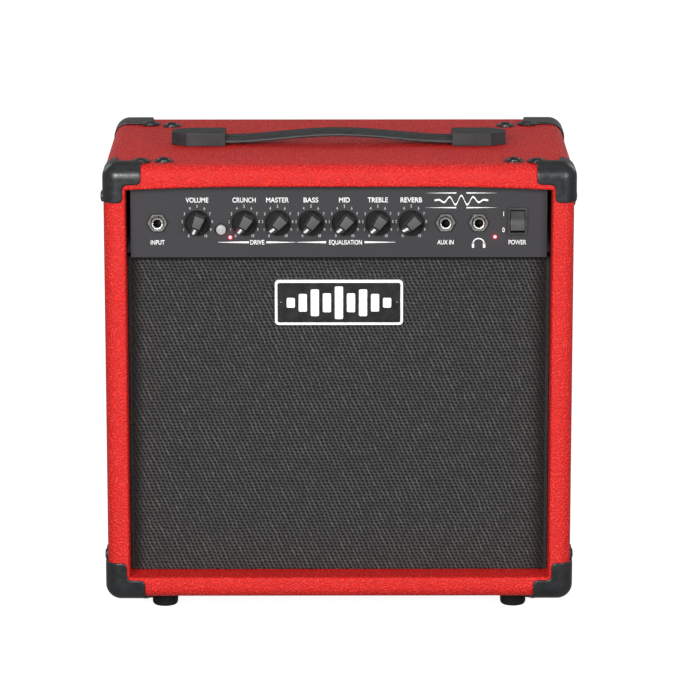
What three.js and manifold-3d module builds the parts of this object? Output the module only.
// A small solid-state guitar combo amplifier: a vinyl-covered wooden cabinet with an eight-inch
// loudspeaker behind a grille cloth, a steel chassis hung under the top panel, and a row of controls.
// Units are millimetres. +X is to the right seen from the front, +Y to the rear and +Z up.
// The origin is on the floor, under the middle of the cabinet.

import * as THREE from "three";
import { mergeVertices } from "three/addons/utils/BufferGeometryUtils.js";
import Module from "manifold-3d";

const wasm = await Module();
wasm.setup();

// ---------------------------------------------------------------- driving dimensions

const WIDTH = 372;
const HEIGHT = 354;
const DEPTH = 228;
const PANEL = 17.5; // wooden panel with its covering
const EDGE_R = 10; // rounding of the cabinet's outer edges
const GAP = 0.3; // between pieces that touch
const STEEL = 1.5;

const FOOT = { height: 15, radius: 11, x: 141.5, front: -75.5, rear: 60, recess: 3.4 };
const CORNER = { proud: 2, arm: 30, armWidth: 15.5, wrap: 14, screw: 29.5, lobe: 8, head: 1.4 };
const REAR_CORNER = { arm: 31, along: 37, lobe: 8.5 };

const GRILLE = { recess: 24, cloth: 1.7, board: 15, width: 330, top: 291.5 };
const FACE = { recess: 13, bottom: 292.8, width: 330 };
const CHASSIS = { width: 326, rear: 84, flange: 18, rearFlange: 24 };
const SPEAKER = { z: 160, hole: 92.5 };
const BACK = { inset: 12, thickness: 12, top: 200 };
const CLEAT = { size: 15, frontTop: 280, rearTop: 198 };

const CONTROL_Z = 321;
const KNOB = { radius: 10, skirt: 4, height: 14, lift: 0.8, first: -75, pitch: 26.45 };
const VOLUME_X = -112.2;
const SHAFT = { radius: 3, bore: 3.25, bush: 4.2, hole: 4.5 };
const POT = { radius: 8.2, depth: 10 };
const BUTTON = { x: -93.3, z: 315.4, radius: 3.9, hole: 4.5, proud: 3 };
const LED = { radius: 1.5, hole: 1.8 };
const JACK = { bore: 3.25, sleeve: 4.9, hole: 5.2, proud: 5.5, nutFlats: 14.5 };
const ROCKER = { x: 141.5, z: 322, width: 15.5, height: 22, tilt: 9 };
const INLET = { x: 118, z: 321 };
const BOLT = { x: 138.5, front: -94.4, rear: 71, radius: 2.5, hole: 2.9 };
const BADGE = { width: 102.5, height: 36.8, thickness: 3, z: 254.2 };
const HANDLE = { y: -12, width: 25, span: 91.5, end: 135, low: 4.2, rise: 5.6, thickness: 4.4 };
const STRAP_SPLIT = 30; // half the length of the strap's middle stretch
const OVER = CORNER.proud + 2; // how far the protectors' cutters reach past the cabinet's faces

// places worked out from them
const BOTTOM = FOOT.height;
const TOP = BOTTOM + HEIGHT;
const MIDDLE = (BOTTOM + TOP) / 2;
const FRONT = -DEPTH / 2;
const REAR = DEPTH / 2;
const SIDE = WIDTH / 2;
const INNER_SIDE = SIDE - PANEL;
const INNER_BOTTOM = BOTTOM + PANEL;
const INNER_TOP = TOP - PANEL;
const CLOTH_FRONT = FRONT + GRILLE.recess;
const BOARD_FRONT = CLOTH_FRONT + GRILLE.cloth + GAP;
const BOARD_REAR = BOARD_FRONT + GRILLE.board;
const FACE_FRONT = FRONT + FACE.recess;
const WALL_FRONT = FACE_FRONT + STEEL + GAP; // the chassis's front wall, behind the faceplate
const WALL_REAR = WALL_FRONT + STEEL;
const CHASSIS_TOP = INNER_TOP - GAP;
const BACK_REAR = REAR - BACK.inset;
const SPEAKER_FRONT = BOARD_REAR + GAP;

// Each knob is at its minimum, pressed on its shaft a few degrees differently. The pointer's angle
// is in degrees clockwise from straight up.
const POINTERS = { gain: 211, master: 222, bass: 216, mid: 219, treble: 216, reverb: 227 };
const KNOBS = Object.entries(POINTERS).map(([name, pointer], i) => ({
  name,
  pointer,
  x: KNOB.first + i * KNOB.pitch,
}));
KNOBS.unshift({ name: "volume", pointer: 201, x: VOLUME_X });
const JACKS = [
  { name: "input", x: -143.6 },
  { name: "aux", x: 84.4 },
  { name: "phones", x: 110.7 },
];
const LEDS = [
  { name: "drive_led", x: -86.1, z: 309 },
  { name: "power_led", x: 123.7, z: 309.3 },
];
const EACH_SIDE = [
  ["left", -1],
  ["right", 1],
];

// ---------------------------------------------------------------- materials

const finish = (color, roughness, metalness = 0) =>
  new THREE.MeshStandardMaterial({ color, roughness, metalness });

const MATERIALS = {
  vinyl: finish(0xc8221c, 0.55),
  wood: finish(0x2a2624, 0.9),
  cloth: finish(0x454442, 0.95),
  badge: finish(0x222222, 0.4),
  steel: finish(0x8d9093, 0.45, 0.8),
  faceplate: finish(0x454649, 0.6, 0.1),
  knob: finish(0x1a1a1b, 0.45),
  button: finish(0x9b9a97, 0.5),
  led: finish(0xff2038, 0.25),
  nickel: finish(0xc9c8c2, 0.25, 1),
  plastic: finish(0x1d1d1e, 0.5),
  corner: finish(0x333638, 0.4),
  rubber: finish(0x131313, 0.85),
  paper: finish(0x202022, 0.95),
  surround: finish(0x111111, 0.9),
  spider: finish(0xb08a4a, 0.95),
  coil: finish(0xa05a2c, 0.5, 0.4),
  magnet: finish(0x3c3d40, 0.6, 0.3),
  board: finish(0x1f5a35, 0.6),
  transformer: finish(0x6d6a62, 0.6, 0.4),
};

// ---------------------------------------------------------------- solids

// A manifold-3d solid from any closed three.js geometry.
function solid(geometry) {
  const plain = geometry.index ? geometry.toNonIndexed() : geometry.clone();
  plain.deleteAttribute("normal");
  plain.deleteAttribute("uv");
  const merged = mergeVertices(plain, 1e-4);
  const vertProperties = new Float32Array(merged.attributes.position.array);
  const triVerts = new Uint32Array(merged.index.array);
  const made = new wasm.Manifold(new wasm.Mesh({ numProp: 3, vertProperties, triVerts }));
  if (made.volume() >= 0) return made;
  const flipped = triVerts.map((v, i) => triVerts[i - (i % 3) + ((3 - (i % 3)) % 3)]);
  return new wasm.Manifold(new wasm.Mesh({ numProp: 3, vertProperties, triVerts: flipped }));
}

function geometryOf(made) {
  const mesh = made.getMesh();
  const points = new Float32Array(mesh.numVert * 3);
  for (let i = 0; i < mesh.numVert; i++) {
    const start = i * mesh.numProp;
    points.set(mesh.vertProperties.subarray(start, start + 3), i * 3);
  }
  const geometry = new THREE.BufferGeometry();
  geometry.setAttribute("position", new THREE.BufferAttribute(points, 3));
  geometry.setIndex(new THREE.BufferAttribute(new Uint32Array(mesh.triVerts), 1));
  const flat = geometry.toNonIndexed();
  flat.computeVertexNormals();
  return flat;
}

// A box from its lowest to its highest corner.
function box(x0, x1, y0, y1, z0, z1) {
  const geometry = new THREE.BoxGeometry(x1 - x0, y1 - y0, z1 - z0);
  return solid(geometry.translate((x0 + x1) / 2, (y0 + y1) / 2, (z0 + z1) / 2));
}

// A shape extruded along an axis. The shape's own axes are the other two, in X, Y, Z order.
function prism(shape, axis, from, to, curveSegments = 4) {
  const options = { depth: to - from, bevelEnabled: false, curveSegments };
  const geometry = new THREE.ExtrudeGeometry(shape, options);
  if (axis === "z") geometry.translate(0, 0, from);
  if (axis === "y") geometry.rotateX(Math.PI / 2).translate(0, to, 0);
  if (axis === "x") {
    const turn = new THREE.Matrix4().set(0, 0, 1, from, 1, 0, 0, 0, 0, 1, 0, 0, 0, 0, 0, 1);
    geometry.applyMatrix4(turn);
  }
  return solid(geometry);
}

// A cylinder along Y, from y0 to y1, at (x, z).
function rod(radius, y0, y1, x = 0, z = 0, segments = 16) {
  const geometry = new THREE.CylinderGeometry(radius, radius, y1 - y0, segments);
  return solid(geometry.translate(x, (y0 + y1) / 2, z));
}

// A profile of [radius, y] points turned about the Y axis.
function turned(profile, segments = 32) {
  const points = profile.map(([r, y]) => new THREE.Vector2(r, y));
  if (profile[0][0] > 0) points.push(points[0].clone());
  return solid(new THREE.LatheGeometry(points, segments));
}

function union(solids) {
  return solids.reduce((a, b) => a.add(b));
}

function roundedRect(width, height, r) {
  const [x, y] = [width / 2, height / 2];
  const shape = new THREE.Shape();
  shape.moveTo(x, -y + r);
  shape.absarc(x - r, y - r, r, 0, Math.PI / 2);
  shape.absarc(-x + r, y - r, r, Math.PI / 2, Math.PI);
  shape.absarc(-x + r, -y + r, r, Math.PI, 1.5 * Math.PI);
  shape.absarc(x - r, -y + r, r, 1.5 * Math.PI, 2 * Math.PI);
  return shape;
}

function polygon(points) {
  return new THREE.Shape(points.map(([x, y]) => new THREE.Vector2(x, y)));
}

// A box centred on the origin with all twelve edges rounded.
function roundedBox(width, depth, height, r, curveSegments = 3) {
  return prism(roundedRect(width, height, r), "y", -depth / 2, depth / 2, curveSegments)
    .intersect(prism(roundedRect(depth, height, r), "x", -width / 2, width / 2, curveSegments))
    .intersect(prism(roundedRect(width, depth, r), "z", -height / 2, height / 2, curveSegments));
}

const amplifier = new THREE.Group();

function place(name, material, made, parent = amplifier) {
  const mesh = new THREE.Mesh(geometryOf(made), MATERIALS[material]);
  mesh.name = name;
  parent.add(mesh);
  return mesh;
}

// ---------------------------------------------------------------- cabinet

const boltPlaces = [-BOLT.x, BOLT.x].flatMap((x) => [BOLT.front, BOLT.rear].map((y) => [x, y]));

function cleats(sign) {
  const [near, far] = [INNER_SIDE + 1, INNER_SIDE - CLEAT.size];
  const [x0, x1] = sign > 0 ? [far, near] : [-near, -far];
  const frontY = BOARD_REAR + GAP;
  const rearY = BACK_REAR - BACK.thickness - GAP;
  const foot = INNER_BOTTOM + GAP;
  return box(x0, x1, frontY, frontY + CLEAT.size, foot, CLEAT.frontTop).add(
    box(x0, x1, rearY - CLEAT.size, rearY, foot, CLEAT.rearTop),
  );
}

function cabinet() {
  const outside = roundedBox(WIDTH, DEPTH, HEIGHT, EDGE_R).translate([0, 0, MIDDLE]);
  const far = 300;
  let top = outside.intersect(box(-far, far, -far, far, INNER_TOP, far * 2));
  for (const [x, y] of boltPlaces) {
    const hole = new THREE.CylinderGeometry(BOLT.hole, BOLT.hole, 60, 12).rotateX(Math.PI / 2);
    top = top.subtract(solid(hole.translate(x, y, TOP)));
  }
  place("cabinet_top", "vinyl", top);
  place("cabinet_bottom", "vinyl", outside.intersect(box(-far, far, -far, far, 0, INNER_BOTTOM)));
  for (const [name, sign] of EACH_SIDE) {
    const [x0, x1] = sign > 0 ? [INNER_SIDE, far] : [-far, -INNER_SIDE];
    const slab = box(x0, x1, -far, far, INNER_BOTTOM + GAP, INNER_TOP - GAP);
    place("cabinet_" + name, "vinyl", outside.intersect(slab).add(cleats(sign)));
  }
}

function front() {
  const wide = INNER_SIDE - GAP;
  const foot = INNER_BOTTOM + GAP;
  const hole = rod(SPEAKER.hole, BOARD_FRONT - 1, BOARD_REAR + 1, 0, SPEAKER.z, 40);
  const board = box(-wide, wide, BOARD_FRONT, BOARD_REAR, foot, GRILLE.top);
  place("baffle_board", "wood", board.subtract(hole));
  const clothRear = CLOTH_FRONT + GRILLE.cloth;
  const half = GRILLE.width / 2;
  place("grille_cloth", "cloth", box(-half, half, CLOTH_FRONT, clothRear, foot, GRILLE.top));
  const plate = roundedRect(BADGE.width, BADGE.height, 3);
  const rear = CLOTH_FRONT - GAP;
  const badge = place("badge", "badge", prism(plate, "y", rear - BADGE.thickness, rear));
  badge.position.z = BADGE.z;
}

function back() {
  const wide = INNER_SIDE - GAP;
  const [y0, y1] = [BACK_REAR - BACK.thickness, BACK_REAR];
  place("back_panel", "wood", box(-wide, wide, y0, y1, INNER_BOTTOM + GAP, BACK.top));
}

// A moulded protector for the vertex at the top right, about the cabinet's centre. Each outline lies
// on one of the three faces that meet there, and the shell is cut to them. The outlines' axes run
// from the vertex into the cabinet. A screw's domed head stands on the top and on the side.
function protector(onFront, onTop, onSide, topScrew, sideScrew) {
  const [x, y, z] = [WIDTH / 2, DEPTH / 2, HEIGHT / 2];
  const out = 2 * CORNER.proud;
  const play = 0.2;
  const skin = roundedBox(WIDTH + out, DEPTH + out, HEIGHT + out, EDGE_R + CORNER.proud);
  const core = roundedBox(WIDTH + play, DEPTH + play, HEIGHT + play, EDGE_R + play / 2);
  const cutter = (outlines) =>
    union(outlines.map((shape) => prism(shape, "z", -OVER, EDGE_R + 1, 5)));
  // A cycle carries a cutter from the top face to the front, and from there to the side.
  const cycle = (made) => made.transform([0, 0, 1, 0, 1, 0, 0, 0, 0, 1, 0, 0, 0, 0, 0, 1]);
  const cutters = union([cycle(cutter(onFront)), cutter(onTop), cycle(cycle(cutter(onSide)))]);
  const heads = screwHead(topScrew).add(cycle(cycle(screwHead(sideScrew))));
  const toVertex = [-1, 0, 0, 0, 0, 1, 0, 0, 0, 0, -1, 0, x, -y, z, 1];
  const shell = skin.subtract(core).intersect(cutters.transform(toVertex));
  return shell.add(heads.transform(toVertex));
}

function screwHead([x, y]) {
  const profile = [
    [0, -CORNER.head],
    [2, 0.3 - CORNER.head],
    [3.6, 0.9 - CORNER.head],
    [4.5, 0.5],
    [0, 0.5],
  ];
  return turned(profile, 12).rotate([90, 0, 0]).translate([x, y, -CORNER.proud]);
}

const tabOutline = (across, along) =>
  polygon([[-OVER, -OVER], [across, -OVER], [across, along], [-OVER, along]]);

function lobeOutline(x, y, radius) {
  const shape = new THREE.Shape();
  shape.absarc(x, y, radius, 0, 2 * Math.PI);
  return shape;
}

// Two arms along the cabinet's edges, with the inner corner and the ends rounded.
function ellOutline() {
  const { arm, armWidth: w } = CORNER;
  const shape = new THREE.Shape();
  shape.moveTo(-OVER, -OVER);
  shape.lineTo(arm, -OVER);
  shape.absarc(arm - 4, w - 4, 4, 0, Math.PI / 2);
  shape.absarc(w + 4, w + 4, 4, 1.5 * Math.PI, Math.PI, true);
  shape.absarc(w - 4, arm - 4, 4, 0, Math.PI / 2);
  shape.lineTo(-OVER, arm);
  return shape;
}

// The front protectors reach less far over the cabinet's top and bottom than the rear ones.
function protectors() {
  const { arm, wrap, screw, lobe } = CORNER;
  const rear = REAR_CORNER;
  const front = protector(
    [ellOutline()],
    [tabOutline(arm, wrap), lobeOutline(screw, wrap + 1, lobe)],
    [tabOutline(arm, arm), lobeOutline(screw, screw, lobe)],
    [screw, wrap + 1],
    [screw, screw],
  );
  const back = protector(
    [tabOutline(rear.arm, rear.arm)],
    [tabOutline(rear.arm, rear.along), lobeOutline(screw, rear.along, rear.lobe)],
    [tabOutline(rear.along, rear.arm), lobeOutline(rear.along, screw, rear.lobe)],
    [screw, rear.along],
    [rear.along, screw],
  );
  return [
    ["front", 1, front],
    ["rear", -1, back],
  ];
}

function corners() {
  const group = new THREE.Group();
  group.position.z = MIDDLE;
  amplifier.add(group);
  for (const [end, sy, made] of protectors()) {
    for (const [level, sz] of [["top", 1], ["bottom", -1]]) {
      for (const [name, sx] of EACH_SIDE) {
        const mesh = place(["corner", end, level, name].join("_"), "corner", made, group);
        mesh.scale.set(sx, sy, sz);
      }
    }
  }
}

function feet() {
  const { radius: r, height, recess } = FOOT;
  const profile = [
    [0, 6.5],
    [recess, 6.5],
    [recess, 0],
    [r - 2.6, 0],
    [r - 1.1, 0.6],
    [r - 0.5, 2],
    [r, height - GAP],
    [0, height - GAP],
  ];
  const made = turned(profile, 16);
  for (const end of ["front", "rear"]) {
    for (const [name, sx] of EACH_SIDE) {
      const foot = place(["foot", end, name].join("_"), "rubber", made);
      foot.position.set(sx * FOOT.x, FOOT[end], 0);
      foot.rotation.x = Math.PI / 2;
    }
  }
}

// ---------------------------------------------------------------- handle

const strapMiddle = (x) => {
  const along = Math.min(Math.abs(x) / HANDLE.span, 1);
  return HANDLE.low + HANDLE.rise * Math.cos((along * Math.PI) / 2) ** 2;
};

function strap(from, to, steps) {
  const xs = Array.from({ length: steps + 1 }, (_, i) => from + ((to - from) * i) / steps);
  const half = HANDLE.thickness / 2;
  const under = xs.map((x) => [x, TOP + strapMiddle(x) - half]);
  const over = xs.map((x) => [x, TOP + strapMiddle(x) + half]);
  const outline = polygon([...under, ...over.reverse()]);
  return prism(outline, "y", HANDLE.y - HANDLE.width / 2, HANDLE.y + HANDLE.width / 2);
}

function handleCap() {
  const { span, end, y, width } = HANDLE;
  const half = width / 2 + 2.5;
  const outline = polygon([
    [span, y - half],
    [end - 12, y - half],
    [end, y - half + 8],
    [end, y + half - 8],
    [end - 12, y + half],
    [span, y + half],
  ]);
  const slot = width / 2 + 0.6;
  return prism(outline, "z", TOP + GAP, TOP + 10.5).subtract(
    box(span - 1, end - 10.5, y - slot, y + slot, TOP + 1.5, TOP + 7.1),
  );
}

function handle() {
  const cap = handleCap();
  for (const [name, sign] of EACH_SIDE) {
    place("handle_cap_" + name, "plastic", cap).scale.x = sign;
    const end = sign * (HANDLE.end - 11);
    const near = sign * (STRAP_SPLIT + GAP / 2);
    place("handle_strap_" + name, "rubber", strap(Math.min(end, near), Math.max(end, near), 9));
  }
  const half = STRAP_SPLIT - GAP / 2;
  place("handle_strap_center", "rubber", strap(-half, half, 4));
}

// ---------------------------------------------------------------- chassis and controls

// What passes through the faceplate and the chassis's front wall.
function frontHoles() {
  const [y0, y1] = [FACE_FRONT - 1, WALL_REAR + 0.5];
  const half = { x: ROCKER.width / 2 - 1, z: ROCKER.height / 2 - 1.2 };
  return union([
    ...KNOBS.map((k) => rod(SHAFT.hole, y0, y1, k.x, CONTROL_Z, 12)),
    ...JACKS.map((j) => rod(JACK.hole, y0, y1, j.x, CONTROL_Z, 12)),
    ...LEDS.map((l) => rod(LED.hole, y0, y1, l.x, l.z, 8)),
    rod(BUTTON.hole, y0, y1, BUTTON.x, BUTTON.z, 12),
    box(ROCKER.x - half.x, ROCKER.x + half.x, y0, y1, ROCKER.z - half.z, ROCKER.z + half.z),
  ]);
}

// A folded steel tray, open at the top, hung by its flanges. Its profile is in Y and Z.
function chassis() {
  const [y0, y1, z0, z1] = [WALL_FRONT, CHASSIS.rear, FACE.bottom, CHASSIS_TOP];
  const [lip0, lip1] = [y0 + CHASSIS.flange, y1 - CHASSIS.rearFlange];
  const profile = polygon([
    [y0 + STEEL, z0 + STEEL],
    [y1 - STEEL, z0 + STEEL],
    [y1 - STEEL, z1 - STEEL],
    [lip1, z1 - STEEL],
    [lip1, z1],
    [y1, z1],
    [y1, z0],
    [y0, z0],
    [y0, z1],
    [lip0, z1],
    [lip0, z1 - STEEL],
    [y0 + STEEL, z1 - STEEL],
  ]);
  const half = CHASSIS.width / 2;
  let tray = prism(profile, "x", -half, half).subtract(frontHoles());
  for (const [x, y] of boltPlaces) {
    const hole = new THREE.CylinderGeometry(BOLT.hole, BOLT.hole, 20, 12).rotateX(Math.PI / 2);
    tray = tray.subtract(solid(hole.translate(x, y, CHASSIS_TOP)));
  }
  const cut = box(INLET.x - 14.3, INLET.x + 14.3, y1 - 3, y1 + 1, INLET.z - 21.3, INLET.z + 21.3);
  place("chassis", "steel", tray.subtract(cut));
  const wide = FACE.width / 2;
  const plate = box(-wide, wide, FACE_FRONT, FACE_FRONT + STEEL, FACE.bottom, CHASSIS_TOP);
  place("control_panel", "faceplate", plate.subtract(frontHoles()));
}

// The knob points up in its own frame and its axis is Y. Its shaft is part of it.
function knobSolid() {
  const { radius, skirt, height, lift } = KNOB;
  const rear = -lift;
  const face = -lift - height;
  const deep = WALL_REAR + GAP + POT.depth - 1.4 - FACE_FRONT;
  const disc = rod(radius, rear - skirt, rear, 0, 0, 20).subtract(
    rod(6.6, rear - 2.6, rear + 1, 0, 0, 12),
  );
  // The grip is a wedge seen from the front, and slopes down to the skirt at its narrow end.
  const wedge = polygon([
    [-4.9, -8],
    [4.9, -8],
    [3.3, 9.4],
    [-3.3, 9.4],
  ]);
  const side = polygon([
    [rear - skirt + 1, -9],
    [face, -8],
    [face, 2.8],
    [rear - skirt - 0.8, 9.4],
    [rear - skirt + 1, 9.4],
  ]);
  const grip = prism(wedge, "y", face - 1, rear).intersect(prism(side, "x", -6, 6));
  return union([disc, grip, rod(SHAFT.radius, rear - skirt, deep, 0, 0, 12)]);
}

function knobs() {
  const made = knobSolid();
  for (const knob of KNOBS) {
    const mesh = place("knob_" + knob.name, "knob", made);
    mesh.position.set(knob.x, FACE_FRONT, CONTROL_Z);
    mesh.rotation.y = THREE.MathUtils.degToRad(knob.pointer);
  }
}

function controlBoard() {
  const front = WALL_REAR + GAP;
  const rear = front + POT.depth;
  const plate = box(-124, 69, rear - 0.2, rear + 1.6, CONTROL_Z - 15, CONTROL_Z + 16);
  const pots = KNOBS.map((k) =>
    rod(POT.radius, front, rear, k.x, CONTROL_Z, 12).add(
      rod(SHAFT.bush, FACE_FRONT - 2.4, front + 1, k.x, CONTROL_Z, 12),
    ),
  );
  const toggle = box(BUTTON.x - 4, BUTTON.x + 4, front + 0.9, rear, BUTTON.z - 4, BUTTON.z + 4);
  const bores = KNOBS.map((k) => rod(SHAFT.bore, FACE_FRONT - 9, rear - 0.8, k.x, CONTROL_Z, 12));
  const bore = rod(2.3, front, rear - 0.5, BUTTON.x, BUTTON.z, 10);
  const made = union([plate, toggle, ...pots]).subtract(union([...bores, bore]));
  place("control_board", "board", made);
}

function channelButton() {
  const stem = WALL_REAR + GAP + POT.depth - 3.2;
  const cap = rod(BUTTON.radius, FACE_FRONT - BUTTON.proud, WALL_REAR - 1.7, 0, 0, 20);
  const made = cap.add(rod(1.9, WALL_REAR - 2, stem, 0, 0, 10));
  place("channel_button", "button", made).position.set(BUTTON.x, 0, BUTTON.z);
}

function leds() {
  const profile = [
    [0, -1.5],
    [0.8, -1.3],
    [1.3, -0.8],
    [LED.radius, 0],
    [LED.radius, 5],
    [2.3, 5],
    [2.3, 6.2],
    [LED.radius, 6.2],
    [LED.radius, 11],
    [0, 11],
  ];
  for (const led of LEDS) {
    const mesh = place(led.name, "led", turned(profile, 8));
    mesh.position.set(led.x, FACE_FRONT, led.z);
  }
}

function jacks() {
  const rear = WALL_REAR + GAP + 24;
  const body = box(-8, 8, WALL_REAR + GAP, rear, -9, 9);
  const sleeve = rod(JACK.sleeve, FACE_FRONT - JACK.proud, WALL_REAR + 2);
  const bore = rod(JACK.bore, FACE_FRONT - 9, rear - 2);
  const socket = body.add(sleeve).subtract(bore);
  const across = JACK.nutFlats / Math.sqrt(3);
  const nut = rod(across, FACE_FRONT - GAP - 2.5, FACE_FRONT - GAP, 0, 0, 6).subtract(
    rod(JACK.sleeve + 0.25, FACE_FRONT - 5, FACE_FRONT + 5),
  );
  for (const jack of JACKS) {
    place(jack.name + "_jack", "plastic", socket).position.set(jack.x, 0, CONTROL_Z);
    place(jack.name + "_jack_nut", "nickel", nut).position.set(jack.x, 0, CONTROL_Z);
  }
}

function powerSwitch() {
  const half = { x: ROCKER.width / 2, z: ROCKER.height / 2 };
  const rear = FACE_FRONT - GAP;
  const bezel = prism(roundedRect(2 * half.x, 2 * half.z, 1), "y", rear - 2, rear);
  const body = box(1.4 - half.x, half.x - 1.4, rear - 1, rear + 21, 1.6 - half.z, half.z - 1.6);
  const cavity = box(-5.8, 5.8, rear - 3, rear + 5.5, -9.1, 9.1);
  const housing = place("power_switch_housing", "plastic", bezel.add(body).subtract(cavity));
  housing.position.set(ROCKER.x, 0, ROCKER.z);
  // The rocker's profile, about its pivot: a shallow V in front of a round back.
  const profile = new THREE.Shape();
  profile.moveTo(-4.3, -7.5);
  profile.quadraticCurveTo(-3.2, -3, -3, 0);
  profile.quadraticCurveTo(-3.2, 3, -4.3, 7.5);
  profile.lineTo(-3.2, 8);
  profile.quadraticCurveTo(0, 8.4, 1.5, 6);
  profile.lineTo(2.6, 3);
  profile.lineTo(2.6, -3);
  profile.lineTo(1.5, -6);
  profile.quadraticCurveTo(0, -8.4, -3.2, -8);
  const rocker = place("power_rocker", "plastic", prism(profile, "x", -5.4, 5.4, 3));
  rocker.position.set(ROCKER.x, rear + 1, ROCKER.z);
  rocker.rotation.x = -THREE.MathUtils.degToRad(ROCKER.tilt);
}

function mainsInlet() {
  const [y0, y1] = [CHASSIS.rear + GAP, CHASSIS.rear + GAP + 2.2];
  const flange = prism(roundedRect(32, 47, 2), "y", y0, y1, 3);
  const body = box(-14, 14, y0 - 22, y0 + 1, -21, 21);
  const mouth = polygon([
    [-12.2, -1.5],
    [12.2, -1.5],
    [12.2, 11],
    [8.2, 15.5],
    [-8.2, 15.5],
    [-12.2, 11],
  ]);
  const cavity = prism(mouth, "y", y1 - 19, y1 + 1);
  const drawer = { x: 12, low: -16.5, high: -8.5 };
  const slot = box(-drawer.x, drawer.x, y1 - 19, y1 + 1, drawer.low, drawer.high);
  const pin = (x, z) => box(x - 1, x + 1, y1 - 19.5, y1 - 5.5, z - 2, z + 2);
  const pins = union([pin(-7, 4.5), pin(7, 4.5), pin(0, 8.5)]);
  const made = flange.add(body).subtract(cavity).subtract(slot).add(pins);
  place("mains_inlet", "plastic", made).position.set(INLET.x, 0, INLET.z);
  const face = box(-13, 13, y1 + GAP, y1 + 2.2, drawer.low - 0.9, drawer.high + 0.9);
  const carrier = box(-11.6, 11.6, y1 - 16, y1 + 1, drawer.low + 0.4, drawer.high - 0.4);
  place("fuse_drawer", "plastic", face.add(carrier)).position.set(INLET.x, 0, INLET.z);
}

function transformer() {
  const floor = FACE.bottom + STEEL + GAP;
  const core = box(-28.5, 28.5, -14, 14, 0, 47.5);
  const windings = prism(roundedRect(37, 46, 5), "z", 8.5, 39);
  const strap = box(-38, 38, -10, 10, 0, 1.6);
  const mesh = place("mains_transformer", "transformer", union([core, windings, strap]));
  mesh.position.set(105, 22, floor);
}

function chassisBolts() {
  const profile = [
    [0, -28],
    [BOLT.radius, -28],
    [BOLT.radius, GAP],
    [8, GAP],
    [8, GAP + 0.8],
    [5.2, GAP + 1.4],
    [4.6, GAP + 2.2],
    [2.6, GAP + 2.9],
    [0, GAP + 3.1],
  ];
  const made = turned(profile, 10);
  const names = ["left_front", "left_rear", "right_front", "right_rear"];
  boltPlaces.forEach(([x, y], i) => {
    const bolt = place("chassis_bolt_" + names[i], "steel", made);
    bolt.position.set(x, y, TOP);
    bolt.rotation.x = Math.PI / 2;
  });
}

// ---------------------------------------------------------------- loudspeaker

// Profiles are [radius, depth behind the basket's front rim].
function speaker() {
  const group = new THREE.Group();
  group.position.set(0, SPEAKER_FRONT, SPEAKER.z);
  amplifier.add(group);

  const basket = [
    [101.5, 0],
    [101.5, 2.6],
    [93.5, 2.6],
    [92.5, 7],
    [54, 46],
    [54, 52],
    [20, 52],
    [20, 49.5],
    [46, 49.5],
    [46, 45.9],
    [50.7, 45.9],
    [50.7, 44.4],
    [86, 9.5],
    [83.5, 7],
    [83.5, 4.7],
    [90.5, 4.7],
    [90.5, 0],
  ];
  const across = box(-18, 18, 13, 42, -100, 100);
  const upright = across.rotate([0, 90, 0]);
  place("speaker_basket", "steel", turned(basket, 32).subtract(across).subtract(upright), group);

  const motor = [
    [0, 51],
    [12, 51],
    [12, 77],
    [14.6, 77],
    [14.6, 52.3],
    [46, 52.3],
    [46, 58],
    [50, 58],
    [50, 76],
    [46, 76],
    [46, 83],
    [0, 83],
  ];
  place("speaker_magnet", "magnet", turned(motor, 24), group);

  const cone = [
    [77, 5],
    [77, 6.2],
    [45, 20.5],
    [14.1, 37.5],
    [14.1, 36.1],
    [45, 19.1],
  ];
  place("speaker_cone", "paper", turned(cone, 24), group);

  const cap = [
    [0, 23.6],
    [10, 25.2],
    [17, 28.6],
    [21.5, 31.5],
    [20.6, 32.1],
    [16.5, 29.5],
    [9.7, 26.2],
    [0, 24.6],
  ];
  place("dust_cap", "paper", turned(cap, 16), group);

  const former = [
    [12.6, 36],
    [13.8, 36],
    [13.8, 70],
    [12.6, 70],
  ];
  place("voice_coil", "coil", turned(former, 20), group);

  place("speaker_surround", "surround", turned(sheetProfile(surroundLine(), 0.6), 24), group);
  place("speaker_spider", "spider", turned(sheetProfile(spiderLine(), 0.7), 24), group);
}

// A line of [radius, depth] points given a thickness along Y.
function sheetProfile(line, thickness) {
  const near = line.map(([r, y]) => [r, y - thickness / 2]);
  const far = line.map(([r, y]) => [r, y + thickness / 2]);
  return [...near, ...far.reverse()];
}

function surroundLine() {
  const [inner, outer, level, steps] = [77.4, 83.7, 4.1, 4];
  const radius = (outer - inner) / 2;
  const line = [[72.5, level]];
  for (let i = 0; i <= steps; i++) {
    const angle = Math.PI * (1 - i / steps);
    const middle = inner + radius;
    line.push([middle + radius * Math.cos(angle), level - radius * Math.sin(angle)]);
  }
  line.push([90.1, level]);
  return line;
}

function spiderLine() {
  const [inner, outer, level, waves] = [14.1, 45.4, 45.25, 3];
  const points = 2 * waves;
  const line = Array.from({ length: points + 1 }, (_, i) => {
    const r = inner + ((outer - inner) * i) / points;
    const swing = i === 0 || i === points ? 0 : 1.1 * (i % 2 ? 1 : -1);
    return [r, level + swing];
  });
  return [...line, [50.4, level]];
}

cabinet();
front();
back();
corners();
feet();
handle();
chassis();
knobs();
controlBoard();
channelButton();
leds();
jacks();
powerSwitch();
mainsInlet();
transformer();
chassisBolts();
speaker();

export default amplifier;
